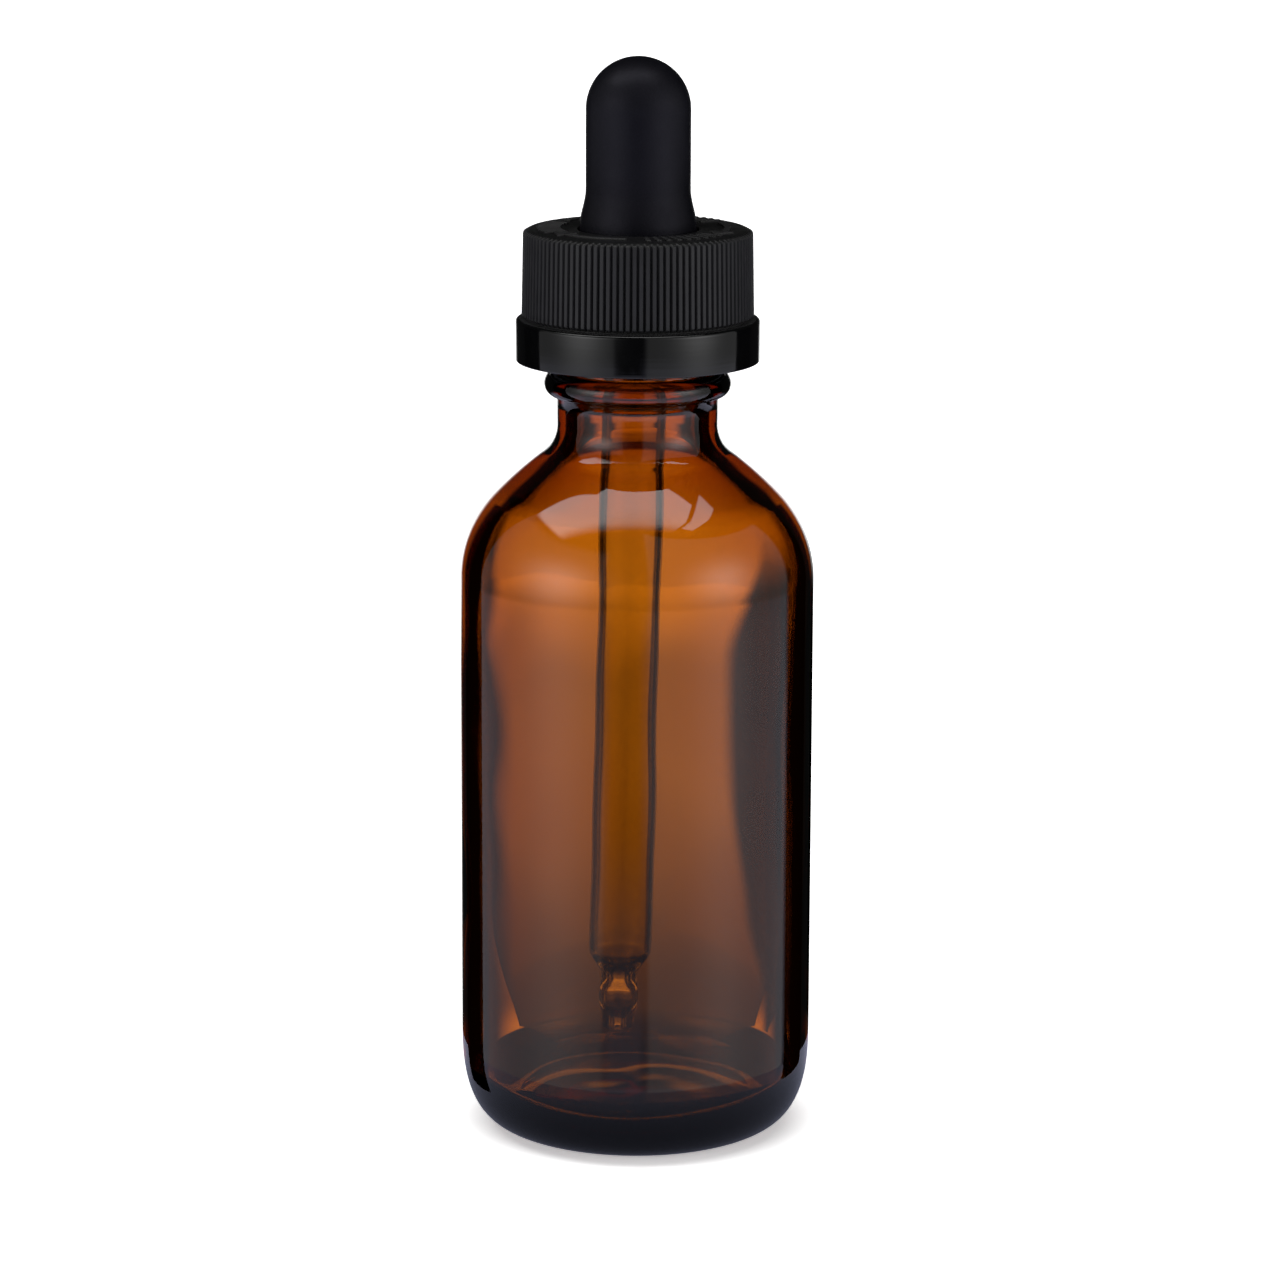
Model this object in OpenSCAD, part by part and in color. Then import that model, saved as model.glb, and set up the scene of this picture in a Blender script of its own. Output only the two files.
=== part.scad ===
// Amber Boston round bottle with a push-and-turn dropper closure.
// Glass bottle, glass pipette, rubber bulb, threaded inner cap and ribbed outer cap.
// Origin: centre of the circle that the bottle stands on. +Z runs up the bottle's axis. Millimetres.

/* [Bottle] */
// Outer diameter of the bottle's straight body
body_d = 38.9; // [37:0.1:41]
// Glass thickness of the body wall
wall = 2.0; // [1.6:0.1:2.6]
// Height of the sealing lip above the table
lip_z = 94.6; // [92:0.1:98]
// Height where the body's side starts to curve into the shoulder
shoulder_z = 62; // [58:0.5:64]
// Radius of the shoulder's convex curve
shoulder_r = 13; // [11:0.5:14]
// Slope of the straight stretch between shoulder and neck, in degrees from level
shoulder_slope = 42; // [36:1:48]
// Radius of the hollow curve that joins shoulder and neck
neck_fillet = 5; // [3:0.5:6]
// Width of the rounded heel, measured inwards from the side
heel_w = 6.5; // [5:0.5:8]
// Height of the rounded heel
heel_h = 11; // [7:0.5:12]
// Roundness of the heel: 2 is an ellipse, more is squarer
heel_power = 2.6; // [2:0.1:3]
// Height of the push-up under the bottle
push_up = 1.4; // [0.6:0.1:2]
// Glass thickness at the centre of the floor
floor_t = 3.0; // [2.4:0.1:4]

/* [Neck finish] */
// Diameter of the finish behind the threads
finish_d = 17.5; // [17.3:0.1:17.7]
// Diameter over the threads
thread_d = 19.5; // [19.3:0.1:19.8]
// Diameter of the neck between shoulder and bead
neck_d = 17.6; // [17:0.1:18]
// Bore through the neck
bore_d = 12.6; // [12:0.1:13]
// Rise of the thread in one turn
pitch = 3.175; // [3.175]
// Turns of thread on the glass
thread_turns = 1.2; // [1.1:0.05:1.3]
// Distance from the lip down to the middle of the thread's upper end
thread_drop = 1.9; // [1.7:0.1:2.2]
// Diameter of the bead under the closure
bead_d = 20.5; // [20:0.1:21]
// Distance from the lip down to the middle of the bead
bead_drop = 10.75; // [10.5:0.05:11]

/* [Pipette] */
// Outer diameter of the glass tube
tube_d = 7.0; // [6.8:0.1:7.2]
// Glass thickness of the tube
tube_wall = 1.0; // [0.8:0.1:1.2]
// Height of the open tip above the table
tip_z = 10.7; // [8:0.1:14]
// Height of the tube's upper end
tube_top_z = 97; // [96:0.1:97.5]
// Lean of the tube in its rubber socket, in degrees towards -X
tube_lean = 1.3; // [0:0.1:1.5]

/* [Bulb] */
// Outer diameter of the rubber bulb
bulb_d = 11.4; // [11:0.1:12]
// Rubber thickness of the bulb
bulb_wall = 1.5; // [1.2:0.1:1.8]
// Height of the bulb's top above the table
bulb_top_z = 119.35; // [116:0.05:122]
// Diameter of the bulb's foot, where it comes out of the closure
foot_d = 12.7; // [12.4:0.1:12.8]
// Thickness of the flange that seals on the lip
flange_t = 1.8; // [1.6:0.1:1.9]

/* [Closure] */
// Diameter over the ribs at the top of the outer cap
rib_d = 25.0; // [24.8:0.1:25.2]
// Number of ribs round the outer cap
rib_count = 110; // [90:1:120]
// Depth of the grooves between ribs
rib_depth = 0.35; // [0.25:0.05:0.45]
// Diameter of the smooth band at the bottom of the outer cap
band_d = 26.7; // [26.4:0.1:27]
// Height of the smooth band
band_h = 4.6; // [4.4:0.1:4.8]
// Height of the whole outer cap
cap_h = 14.4; // [14.2:0.1:14.6]
// Distance the outer cap can be pushed down to catch the inner cap
push_travel = 1.0; // [0.8:0.1:1.0]
// Number of drive lugs on each cap
lug_count = 8; // [6:1:8]

/* [Hidden] */

$fn = 96;
cut = 1;                                   // how far a cutting shape runs past the face it cuts
curve_steps = 12;                          // straight stretches in a profile's quarter curve

// Bottle
body_r = body_d / 2;
finish_r = finish_d / 2;
bore_r = bore_d / 2;
neck_r = neck_d / 2;
bead_z = lip_z - bead_drop;
bead_half = 1.35;
lip_round = 0.7;
standing_w = 1.5;                          // width of the ring the bottle stands on
push_up_r = body_r - heel_w - standing_w;
floor_z = push_up + floor_t;
inner_dome = 0.9;                          // rise of the floor's middle inside the bottle
arc_end = 90 - shoulder_slope;             // where the shoulder's curve meets its straight stretch
shoulder_c = body_r - shoulder_r;          // centre radius of the shoulder's curve
fillet_c = neck_r + neck_fillet;           // centre radius of the neck fillet
slope_start = [shoulder_c + shoulder_r * cos(arc_end), shoulder_z + shoulder_r * sin(arc_end)];
slope_end_r = fillet_c - neck_fillet * cos(arc_end);
slope_end_z = slope_start[1] + (slope_start[0] - slope_end_r) * tan(shoulder_slope);
fillet_z = slope_end_z + neck_fillet * sin(arc_end);
inner_heel_w = 6;
inner_heel_h = 7;

// Threads: half widths at the root and at the crest
glass_thread = [0.95, 0.45];
cap_thread = [0.6, 0.25];
ring_step = 12;                            // degrees between the rings of a thread
fade_rings = 3;                            // rings over which a thread rises from the wall
thread_sink = 0.35;                        // how deep a thread's root lies in its wall
thread_top_z = lip_z - thread_drop;
thread_low_z = thread_top_z - thread_turns * pitch;

// Pipette, heights along its own axis
tube_r = tube_d / 2;
tube_bore_r = tube_r - tube_wall;
taper_h = 3.0;                             // from the full tube to the narrow neck
tip_len = 6.1;                             // from the narrow neck to the open end
tip_neck_r = 2.1;
tip_ball_r = 2.25;
tip_end_r = 1.75;
orifice_r = 0.6;
socket_gap = 0.1;                          // running clearance round the tube in the rubber

// Bulb
bulb_r = bulb_d / 2;
foot_r = foot_d / 2;
flange_r = 9.2;
hub_r = 5.6;
hub_z = lip_z - 7.8;
flange_z = lip_z + flange_t;
cavity_r = bulb_r - bulb_wall;
cavity_z = 98;
dome_z = bulb_top_z - bulb_r;
flare_z = 101;                             // where the foot starts to narrow into the bulb
split_z = 105;                             // where the squeezed part of the bulb begins

// Inner cap
inner_bore_r = 9.95;
inner_r = 10.9;
inner_crest_r = 9.1;
inner_low_z = lip_z - 7.7;
inner_disc_t = 1.1;
inner_top_z = flange_z + inner_disc_t;
inner_hole_r = foot_r + 0.1;
rim_r = 11.9;                              // flange that keeps the outer cap on
rim_t = 1.2;
lug_h = 0.9;
lug_in_r = 8.0;
lug_out_r = 10.4;
inner_lug_arc = 20;
outer_lug_arc = 16;
cap_thread_turns = 0.9;

// Outer cap
outer_low_z = inner_low_z - 0.6;
outer_top_z = outer_low_z + cap_h;
plate_t = 1.2;
plate_z = outer_top_z - plate_t;
shell_r = inner_r + 0.25;                  // inside of the ribbed wall
skirt_r = rim_r + 0.25;                    // inside of the smooth band
band_r = band_d / 2;
band_top_z = outer_low_z + band_h;
crest_r = rib_d / 2;
draft = 0.18;                              // how much wider the ribs stand at the bottom
root_r = crest_r - rib_depth;
rib_chamfer = 0.28;
band_round = 0.35;
outer_hole_r = foot_r + 0.25;
snap_r = 11.4;                             // inside of the bead that hooks under the inner cap
snap_top_z = inner_low_z - 0.05;
rib_slice = 360 / rib_count;
mark_h = 0.2;
arrow_count = 3;
arrow_arc = 46;
arrow_r = 9.7;
tick_count = 9;                            // raised bars between one arrow and the next
tick_step = 6;

assert(plate_z - push_travel - lug_h > inner_top_z, "the push travel leaves no room above the inner cap");

// Points on a circle's arc in a profile, from angle a0 to angle a1
function arc(c, r, a0, a1, n = curve_steps) =
    [for (i = [0:n]) let (a = a0 + (a1 - a0) * i / n) [c[0] + r * cos(a), c[1] + r * sin(a)]];

// A rounded heel between the floor at z and the side at radius r
function heel(r, z, w, h, power, n = curve_steps) =
    [for (i = [0:n]) let (a = 90 * i / n)
        [r - w + w * pow(sin(a), 2 / power), z + h - h * pow(max(0, cos(a)), 2 / power)]];

// A smooth step from 0 to 1
function ease(t) = t * t * (3 - 2 * t);

function backwards(points) = [for (i = [len(points) - 1:-1:0]) points[i]];

// A shallow dome, from its top on the axis at z down to the radius r, falling by drop
function dome(z, r, drop) =
    let (big = (r * r + drop * drop) / (2 * drop))
    arc([0, z - big], big, 90, 90 - asin(r / big), 5);

// Outline from [r0, z0] to [r1, z1] that leaves and arrives straight up
function s_curve(p0, p1, n = curve_steps) =
    [for (i = [0:n]) [p0[0] + (p1[0] - p0[0]) * ease(i / n), p0[1] + (p1[1] - p0[1]) * i / n]];

module lathe(points) {
    rotate_extrude() polygon(points);
}

module ring(r_in, r_out, z, h) {
    translate([0, 0, z])
        difference() {
            cylinder(r = r_out, h = h);
            translate([0, 0, -cut]) cylinder(r = r_in, h = h + 2 * cut);
        }
}

// One helical thread. It starts at height z on the +X side and rises anticlockwise.
// r_wall is the wall it stands on and r_top its crest, outside or inside that wall.
module thread(r_wall, r_top, half, z, turns, start = 0) {
    rings = round(turns * 360 / ring_step);
    side = sign(r_top - r_wall);
    root = r_wall - side * thread_sink;
    points = [for (i = [0:rings])
        let (a = start + i * ring_step,
             up = z + pitch * i * ring_step / 360,
             rise = min(1, (min(i, rings - i) - 0.6) / fade_rings),
             top = r_wall + (r_top - r_wall) * rise)
        for (p = [[root, -half[0]], [top, -half[1]], [top, half[1]], [root, half[0]]])
            [p[0] * cos(a), p[0] * sin(a), up + p[1]]];
    flip = side > 0;
    function turned(f) = flip ? f : [f[2], f[1], f[0]];
    quads = [for (i = [0:rings - 1], j = [0:3])
        [4 * i + j, 4 * i + (j + 1) % 4, 4 * i + 4 + (j + 1) % 4, 4 * i + 4 + j]];
    last = 4 * rings;
    faces = concat(
        [for (q = quads) turned([q[0], q[1], q[2]])],
        [for (q = quads) turned([q[0], q[2], q[3]])],
        [for (f = [[0, 3, 2], [0, 2, 1]]) turned(f)],
        [for (f = [[last, last + 1, last + 2], [last, last + 2, last + 3]]) turned(f)]);
    polyhedron(points = points, faces = faces);
}

// A block between two radii, centred on the given angle
module sector_block(r_in, r_out, z, h, angle, width) {
    rotate([0, 0, angle - width / 2])
        translate([0, 0, z])
            rotate_extrude(angle = width)
                translate([r_in, 0]) square([r_out - r_in, h]);
}

module bottle() {
    outside = concat(
        dome(push_up, push_up_r, push_up - 0.2),
        [[push_up_r, 0]],
        heel(body_r, 0, heel_w, heel_h, heel_power),
        arc([shoulder_c, shoulder_z], shoulder_r, 0, arc_end),
        arc([fillet_c, fillet_z], neck_fillet, 180 + arc_end, 180, 8),
        arc([bead_d / 2 - bead_half, bead_z], bead_half, -90, 90),
        [[finish_r, bead_z + bead_half]],
        arc([finish_r - lip_round, lip_z - lip_round], lip_round, 0, 90, 6));
    inside = concat(
        arc([bore_r + lip_round, lip_z - lip_round], lip_round, 90, 180, 6),
        arc([fillet_c, fillet_z], fillet_c - bore_r, 180, 180 + arc_end, 8),
        arc([shoulder_c, shoulder_z], shoulder_r - wall, arc_end, 0),
        backwards(heel(body_r - wall, floor_z - inner_dome, inner_heel_w, inner_heel_h, 2)),
        backwards(dome(floor_z, body_r - wall - inner_heel_w, inner_dome)));
    color([0.42, 0.16, 0.03, 0.6])
        union() {
            lathe(concat(outside, inside));
            thread(finish_r, thread_d / 2, glass_thread, thread_low_z, thread_turns);
        }
}

module pipette() {
    neck_z = tip_z + tip_len;
    full_z = neck_z + taper_h;
    outside = concat(
        [[tip_end_r, tip_z]],
        s_curve([tip_end_r + 0.2, tip_z + 0.3], [tip_ball_r, tip_z + 2.9], 5),
        s_curve([tip_ball_r, tip_z + 3.4], [tip_neck_r, neck_z - 0.4], 5),
        s_curve([tip_neck_r, neck_z], [tube_r, full_z], 8),
        arc([tube_r - 0.4, tube_top_z - 0.4], 0.4, 0, 90, 4));
    inside = concat(
        arc([tube_bore_r + 0.4, tube_top_z - 0.4], 0.4, 90, 180, 4),
        s_curve([tube_bore_r, full_z], [0.95, neck_z + 0.2], 8),
        s_curve([0.95, neck_z - 0.3], [1.6, tip_z + 4.0], 5),
        s_curve([1.6, tip_z + 2.9], [orifice_r, tip_z + 1.3], 5),
        [[orifice_r, tip_z]]);
    color([0.85, 0.92, 0.93, 0.5])
        lean() lathe(concat(outside, inside));
}

// Tilts the tube and its rubber socket about the tube's upper end
module lean() {
    translate([0, 0, tube_top_z])
        rotate([0, tube_lean, 0])
            translate([0, 0, -tube_top_z]) children();
}

module bulb() {
    outside = concat(
        [[0, hub_z], [hub_r - 0.5, hub_z], [hub_r, hub_z + 0.5], [hub_r, lip_z]],
        arc([flange_r - 0.4, lip_z + 0.4], 0.4, -90, 0, 4),
        arc([flange_r - 0.4, flange_z - 0.4], 0.4, 0, 90, 4),
        [[foot_r, flange_z]],
        s_curve([foot_r, flare_z], [bulb_r, split_z]),
        [[0, split_z]]);
    color([0.06, 0.06, 0.07])
        difference() {
            lathe(outside);
            lean() translate([0, 0, hub_z - cut])
                cylinder(r = tube_r + socket_gap, h = cavity_z - hub_z + cut);
            translate([0, 0, cavity_z]) cylinder(r = cavity_r, h = split_z - cavity_z + cut);
        }
}

module bulb_teat() {
    color([0.06, 0.06, 0.07])
        lathe(concat(
            [[cavity_r, split_z], [bulb_r, split_z]],
            arc([0, dome_z], bulb_r, 0, 90),
            arc([0, dome_z], cavity_r, 90, 0)));
}

module inner_cap() {
    thread_z = thread_low_z - pitch / 2 + pitch * 0.1;
    color([0.09, 0.09, 0.10])
        union() {
            difference() {
                lathe([[0, inner_low_z], [rim_r, inner_low_z], [rim_r, inner_low_z + rim_t],
                    [inner_r, inner_low_z + rim_t + 0.6], [inner_r, inner_top_z - 0.3],
                    [inner_r - 0.3, inner_top_z], [0, inner_top_z]]);
                translate([0, 0, inner_low_z - cut])
                    cylinder(r = inner_bore_r, h = flange_z - inner_low_z + cut);
                translate([0, 0, flange_z - cut])
                    cylinder(r = inner_hole_r, h = inner_disc_t + 2 * cut);
            }
            for (i = [0:lug_count - 1])
                sector_block(lug_in_r, lug_out_r, inner_top_z - 0.2, lug_h + 0.2,
                    i * 360 / lug_count, inner_lug_arc);
            thread(inner_bore_r, inner_crest_r, cap_thread, thread_z, cap_thread_turns, 36);
        }
}

// Ribbed prism, trimmed to the draft of the wall and to the chamfer at its top
module ribs() {
    outline = [for (i = [0:rib_count - 1], k = [[-0.30, root_r], [-0.16, crest_r + draft + cut],
        [0.16, crest_r + draft + cut], [0.30, root_r]])
        let (a = (i + k[0]) * rib_slice) [k[1] * cos(a), k[1] * sin(a)]];
    core_r = shell_r + 0.5;
    intersection() {
        translate([0, 0, band_top_z - 0.2])
            linear_extrude(height = outer_top_z - band_top_z + 0.2) polygon(outline);
        lathe([[core_r, band_top_z - 0.2], [crest_r + draft, band_top_z - 0.2],
            [crest_r, outer_top_z - rib_chamfer], [crest_r - rib_chamfer, outer_top_z],
            [core_r, outer_top_z]]);
    }
}

// Raised arrows and bars on top of the outer cap
module top_marks() {
    head = 1.3;
    for (i = [0:arrow_count - 1])
        rotate([0, 0, i * 360 / arrow_count]) {
            sector_block(arrow_r - 0.35, arrow_r + 0.35, outer_top_z - 0.2, mark_h + 0.2,
                0, arrow_arc);
            rotate([0, 0, -arrow_arc / 2])
                translate([arrow_r, 0, outer_top_z - 0.2])
                    linear_extrude(height = mark_h + 0.2)
                        polygon([[-head, 0.3], [head, 0.3], [0, -2.2]]);
            for (k = [0:tick_count - 1])
                rotate([0, 0, 60 + (k - (tick_count - 1) / 2) * tick_step])
                    translate([8.4, -0.22, outer_top_z - 0.2])
                        cube([2.6, 0.44, mark_h + 0.2]);
        }
}

module outer_cap() {
    wall_r = root_r - 0.1;
    color([0.05, 0.05, 0.055])
        union() {
            lathe(concat(
                [[snap_r, outer_low_z]],
                arc([band_r - band_round, outer_low_z + band_round], band_round, -90, 0, 4),
                arc([band_r - band_round, band_top_z - band_round], band_round, 0, 90, 4),
                [[wall_r, band_top_z], [wall_r, outer_top_z - rib_chamfer],
                    [wall_r - 0.2, outer_top_z], [outer_hole_r, outer_top_z],
                    [outer_hole_r, plate_z], [shell_r, plate_z], [shell_r, band_top_z - 0.5],
                    [skirt_r, band_top_z - 1.0], [skirt_r, snap_top_z],
                    [snap_r, snap_top_z]]));
            ribs();
            for (i = [0:lug_count - 1])
                sector_block(lug_in_r, lug_out_r, plate_z - lug_h, lug_h + 0.2,
                    (i + 0.5) * 360 / lug_count, outer_lug_arc);
            top_marks();
        }
}

bottle();
pipette();
bulb();
bulb_teat();
inner_cap();
outer_cap();
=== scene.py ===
"""Looks of an amber dropper bottle: its glass, pipette, rubber bulb, inner cap and ribbed outer cap.

Lengths in the tables of the pieces are millimetres, as on the object's drawings; meshes are built in metres.
"""

import math

import bpy
from mathutils import Matrix, Vector


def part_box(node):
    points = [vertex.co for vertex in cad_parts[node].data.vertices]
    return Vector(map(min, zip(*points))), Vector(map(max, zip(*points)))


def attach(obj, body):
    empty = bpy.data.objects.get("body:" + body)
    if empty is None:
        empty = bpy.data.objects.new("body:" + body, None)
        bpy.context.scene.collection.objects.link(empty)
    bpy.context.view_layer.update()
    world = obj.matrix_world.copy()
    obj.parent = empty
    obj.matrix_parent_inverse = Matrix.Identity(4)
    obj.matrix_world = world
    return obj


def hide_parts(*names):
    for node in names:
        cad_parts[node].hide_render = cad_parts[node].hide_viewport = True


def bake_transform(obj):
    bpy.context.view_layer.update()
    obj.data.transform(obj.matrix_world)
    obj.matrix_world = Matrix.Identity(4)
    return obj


MM = 0.001
TAU = 2 * math.pi

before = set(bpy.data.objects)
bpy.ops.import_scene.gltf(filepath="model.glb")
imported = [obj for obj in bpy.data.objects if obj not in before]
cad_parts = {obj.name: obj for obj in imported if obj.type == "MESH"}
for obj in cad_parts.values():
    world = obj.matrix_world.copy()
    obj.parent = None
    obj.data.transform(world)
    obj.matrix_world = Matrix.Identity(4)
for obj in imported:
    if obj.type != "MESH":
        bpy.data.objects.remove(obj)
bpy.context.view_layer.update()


def box_mm(node):
    """Lowest and highest corner of a CAD node, in millimetres."""
    low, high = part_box(node)
    return [v / MM for v in low], [v / MM for v in high]


# Heights and radii that the CAD nodes give
BOTTLE_HIGH = box_mm("bottle")[1]
BODY_R = BOTTLE_HIGH[0]
LIP_Z = BOTTLE_HIGH[2]
BULB_Z = (box_mm("bulb")[0][2], box_mm("bulb_teat")[1][2])
INNER_Z = tuple(corner[2] for corner in box_mm("inner_cap"))
OUTER_Z = box_mm("outer_cap")[0][2]

PITCH = 3.175
LUG_ROOT = 0.2
LUG_STEPS = 6
LUG_BEVEL = 0.12

GLASS = {
    "columns": 224,
    "wall": 2.0,
    "shoulder_z": 62.2,
    "shoulder_r": 13.0,
    "slope": (46.3, 36.8),
    "slope_r": 43.5,
    "neck_r": 8.8,
    "heel_w": 6.5,
    "heel_h": 11.0,
    "heel_power": 2.6,
    "push_up": 1.4,
    "push_up_edge": (0.3, 0.35),
    "foot_round": 0.75,
    "floor": 4.4,
    "inner_dome": 0.9,
    "inner_heel": (4.5, 4.0),
    "ring_w": 1.5,
    "bore_r": 6.3,
    "finish_r": 8.75,
    "thread_r": 9.75,
    "thread_half": (0.95, 0.45),
    "thread_turns": 1.2,
    "thread_drop": 1.9,
    "bead_r": 10.25,
    "bead_half": 1.4,
    "bead_drop": 10.8,
    "lip_round": 0.7,
    "ripple": 0.034,
    "ripple_from": (5, 14),
    "ripple_below_lip": (14, 10),
    "swirl": 0.08,
    "swirl_from": (1, 4),
    "swirl_to": (9, 5),
}

# Uneven inner wall and floor, as in blown glass: waves round the axis, phase per mm of height or radius,
# phase at the start, and size
WALL_WAVES = ((3, 0.11, 0.4, 1.0), (5, -0.19, 1.7, 0.7), (2, 0.31, 2.9, 0.6), (8, 0.43, 0.0, 0.35))
FLOOR_WAVES = ((3, 0.6, 0.0, 1.0), (4, -0.5, 1.0, 0.6))

PIPETTE = {
    "columns": 96,
    "r": 3.5,
    "bore_r": 2.93,
    "top_z": 97.0,
    "lean": 1.3,
    "neck_z": 16.8,
    "taper": 3.0,
    "neck_r": 2.1,
    "ball_r": 2.25,
    "end_r": 1.75,
    "hole_r": 0.6,
    "inner_neck_r": 0.95,
    "inner_ball_r": 1.6,
    "tip_drop": 6.1,
    "ball_z": (2.9, 3.4),
    "inner_ball_z": (2.9, 4.0),
    "hole_z": 1.3,
    "end_round": 0.25,
    "top_round": (0.45, 0.4),
}

BULB = {
    "columns": 128,
    "r": 5.7,
    "wall": 1.5,
    "foot_r": 6.35,
    "flange_r": 9.2,
    "flange_t": 1.8,
    "play": 0.03,
    "hub_r": 5.6,
    "flare_z": 101.0,
    "split_z": 105.0,
    "cavity_z": 98.0,
}

INNER = {
    "columns": 144,
    "bore_r": 9.95,
    "r": 10.9,
    "crest_r": 9.1,
    "thread_half": (0.6, 0.25),
    "thread_turns": 0.9,
    "rim_r": 11.9,
    "rim_t": 1.2,
    "disc_t": 1.1,
    "lugs": 8,
    "lug_h": 0.9,
    "lug_r": (8.0, 10.4),
    "lug_arc": 20.0,
}

OUTER = {
    "ribs": 110,
    "per_rib": 8,
    "crest_r": 12.5,
    "depth": 0.35,
    "draft": 0.18,
    "rib_half": 0.42,
    "rib_side": 0.12,
    "rib_end": 0.35,
    "band_r": 13.35,
    "band_h": 4.6,
    "height": 14.4,
    "plate_t": 1.2,
    "shell_r": 11.15,
    "skirt_r": 12.15,
    "snap_r": 11.4,
    "hole_r": 6.6,
    "lug_arc": 16.0,
    "mark_h": 0.2,
    "mark_bevel": 0.07,
    "mark_groups": 3,
    "arrow_r": (9.35, 10.05),
    "arrow_arc": 46.0,
    "arrow_head": ((8.4, 0.3), (9.7, -2.2), (11.0, 0.3)),
    "bar_r": (8.4, 11.0),
    "bars": 9,
    "bar_step": 6.0,
    "bar_arc": 2.6,
}

# Materials. wave, grain, uneven and streaks are depths of relief in metres, absorb is per metre
AMBER_GLASS = {"colour": (0.36, 0.13, 0.02), "absorb": (259.0, 595.0, 1500.0), "ior": 1.52,
               "rough": (0.0, 0.02), "wave": 0.00002}
CLEAR_GLASS = {"colour": (0.9, 0.95, 0.95), "absorb": (110.0, 98.0, 106.0), "ior": 1.48,
               "rough": (0.0, 0.015), "wave": 0.000006}

RUBBER = {"colour": (0.02, 0.02, 0.023), "dark": (0.0020, 0.0020, 0.0036), "bloom": (0.0036, 0.0035, 0.0056),
          "rough": (0.44, 0.54), "shine": 0.22, "tint": (0.84, 0.82, 1.0, 1), "grain": 0.000012,
          "uneven": 0.00005}
CAP_SATIN = {"low": (0.019, 0.019, 0.0197), "high": (0.027, 0.027, 0.028), "rough": (0.46, 0.56),
             "grain": 0.00001, "shine": 0.3}
# The top ring is the cap's satin plastic made darker: painted shade on its faces that look up
CAP_TOP_RING_PAINTED_SHADE = {"low": (0.005, 0.005, 0.0053), "high": (0.009, 0.009, 0.0093), "rough": (0.34, 0.44),
                "grain": 0.00001, "shine": 0.35}
CAP_GLOSS = {"low": (0.0020, 0.0020, 0.0022), "high": (0.0030, 0.0030, 0.0032), "rough": (0.07, 0.12),
             "grain": 0.0000008, "streaks": 0.00001}
INNER_PLASTIC = {"low": (0.03, 0.03, 0.032), "high": (0.045, 0.045, 0.048), "rough": (0.32, 0.45),
                 "grain": 0.000012}


# ---- outlines ----

def arc(centre, radius, start, end, steps):
    """Points on a circle's arc, as (radius, height), from one angle in degrees to another."""
    points = []
    for i in range(steps + 1):
        a = math.radians(start + (end - start) * i / steps)
        points.append((centre[0] + radius * math.cos(a), centre[1] + radius * math.sin(a)))
    return points


def along(start, distance, angle):
    """The point at a distance from start, in a direction in degrees."""
    a = math.radians(angle)
    return start[0] + distance * math.cos(a), start[1] + distance * math.sin(a)


def heel(r, z, w, h, power, steps):
    """A rounded heel from the floor at height z to the side at radius r."""
    points = []
    for i in range(steps + 1):
        a = 0.5 * math.pi * i / steps
        across = max(0.0, math.sin(a)) ** (2 / power)
        up = max(0.0, math.cos(a)) ** (2 / power)
        points.append((r - w + w * across, z + h - h * up))
    return points


def dome(z, r, drop, steps):
    """A shallow dome from its top on the axis at height z down to radius r."""
    big = (r * r + drop * drop) / (2 * drop)
    return arc((0, z - big), big, 90, 90 - math.degrees(math.asin(r / big)), steps)


def s_curve(start, end, steps):
    """An outline from start to end that leaves and arrives straight up."""
    points = []
    for i in range(steps + 1):
        t = i / steps
        ease = t * t * (3 - 2 * t)
        points.append((start[0] + (end[0] - start[0]) * ease, start[1] + (end[1] - start[1]) * t))
    return points


def fine(points, longest):
    """The same outline with no stretch longer than the given length."""
    out = [points[0]]
    for p, q in zip(points, points[1:]):
        n = max(1, math.ceil(math.dist(p, q) / longest - 1e-9))
        out += [(p[0] + (q[0] - p[0]) * i / n, p[1] + (q[1] - p[1]) * i / n) for i in range(1, n + 1)]
    return out


def tidy(points):
    """The outline without points that repeat the one before."""
    out = [points[0]]
    for p in points[1:]:
        if math.dist(p, out[-1]) > 1e-4:
            out.append(p)
    return out


def rounded(points, radii, steps):
    """The outline with each inner corner replaced by a small curve, with one radius for each point."""
    out = [points[0]]
    for i in range(1, len(points) - 1):
        p, c, q = (Vector(points[i + d]) for d in (-1, 0, 1))
        r = min(radii[i], 0.45 * (p - c).length, 0.45 * (q - c).length)
        if r < 1e-4:
            out.append(points[i])
            continue
        a = c + (p - c).normalized() * r
        b = c + (q - c).normalized() * r
        for k in range(steps + 1):
            t = k / steps
            v = a * (1 - t) ** 2 + c * 2 * t * (1 - t) + b * t * t
            out.append((v.x, v.y))
    out.append(points[-1])
    return out


def smooth(t):
    """A soft step from 0 to 1."""
    t = min(1.0, max(0.0, t))
    return t * t * (3 - 2 * t)


def grows(value, start, over):
    """A soft step up that leaves 0 at start."""
    return smooth((value - start) / over)


def fades(value, end, over):
    """A soft step down that reaches 0 at end."""
    return smooth((end - value) / over)


def waves(table, angle, way):
    """The sum of a table's waves at an angle round the axis and a way along the surface."""
    return sum(size * math.sin(turns * angle + step * way + start) for turns, step, start, size in table)


# ---- meshes ----

def make_object(name, verts, faces, sharp=40.0):
    """A smooth-shaded object from points in millimetres; edges turned more than sharp degrees stay crisp."""
    mesh = bpy.data.meshes.new(name)
    mesh.from_pydata([[v * MM for v in p] for p in verts], [], faces)
    mesh.validate()
    mesh.shade_smooth()
    if sharp:
        mesh.set_sharp_from_angle(angle=math.radians(sharp))
    obj = bpy.data.objects.new(name, mesh)
    bpy.context.scene.collection.objects.link(obj)
    return obj


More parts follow.
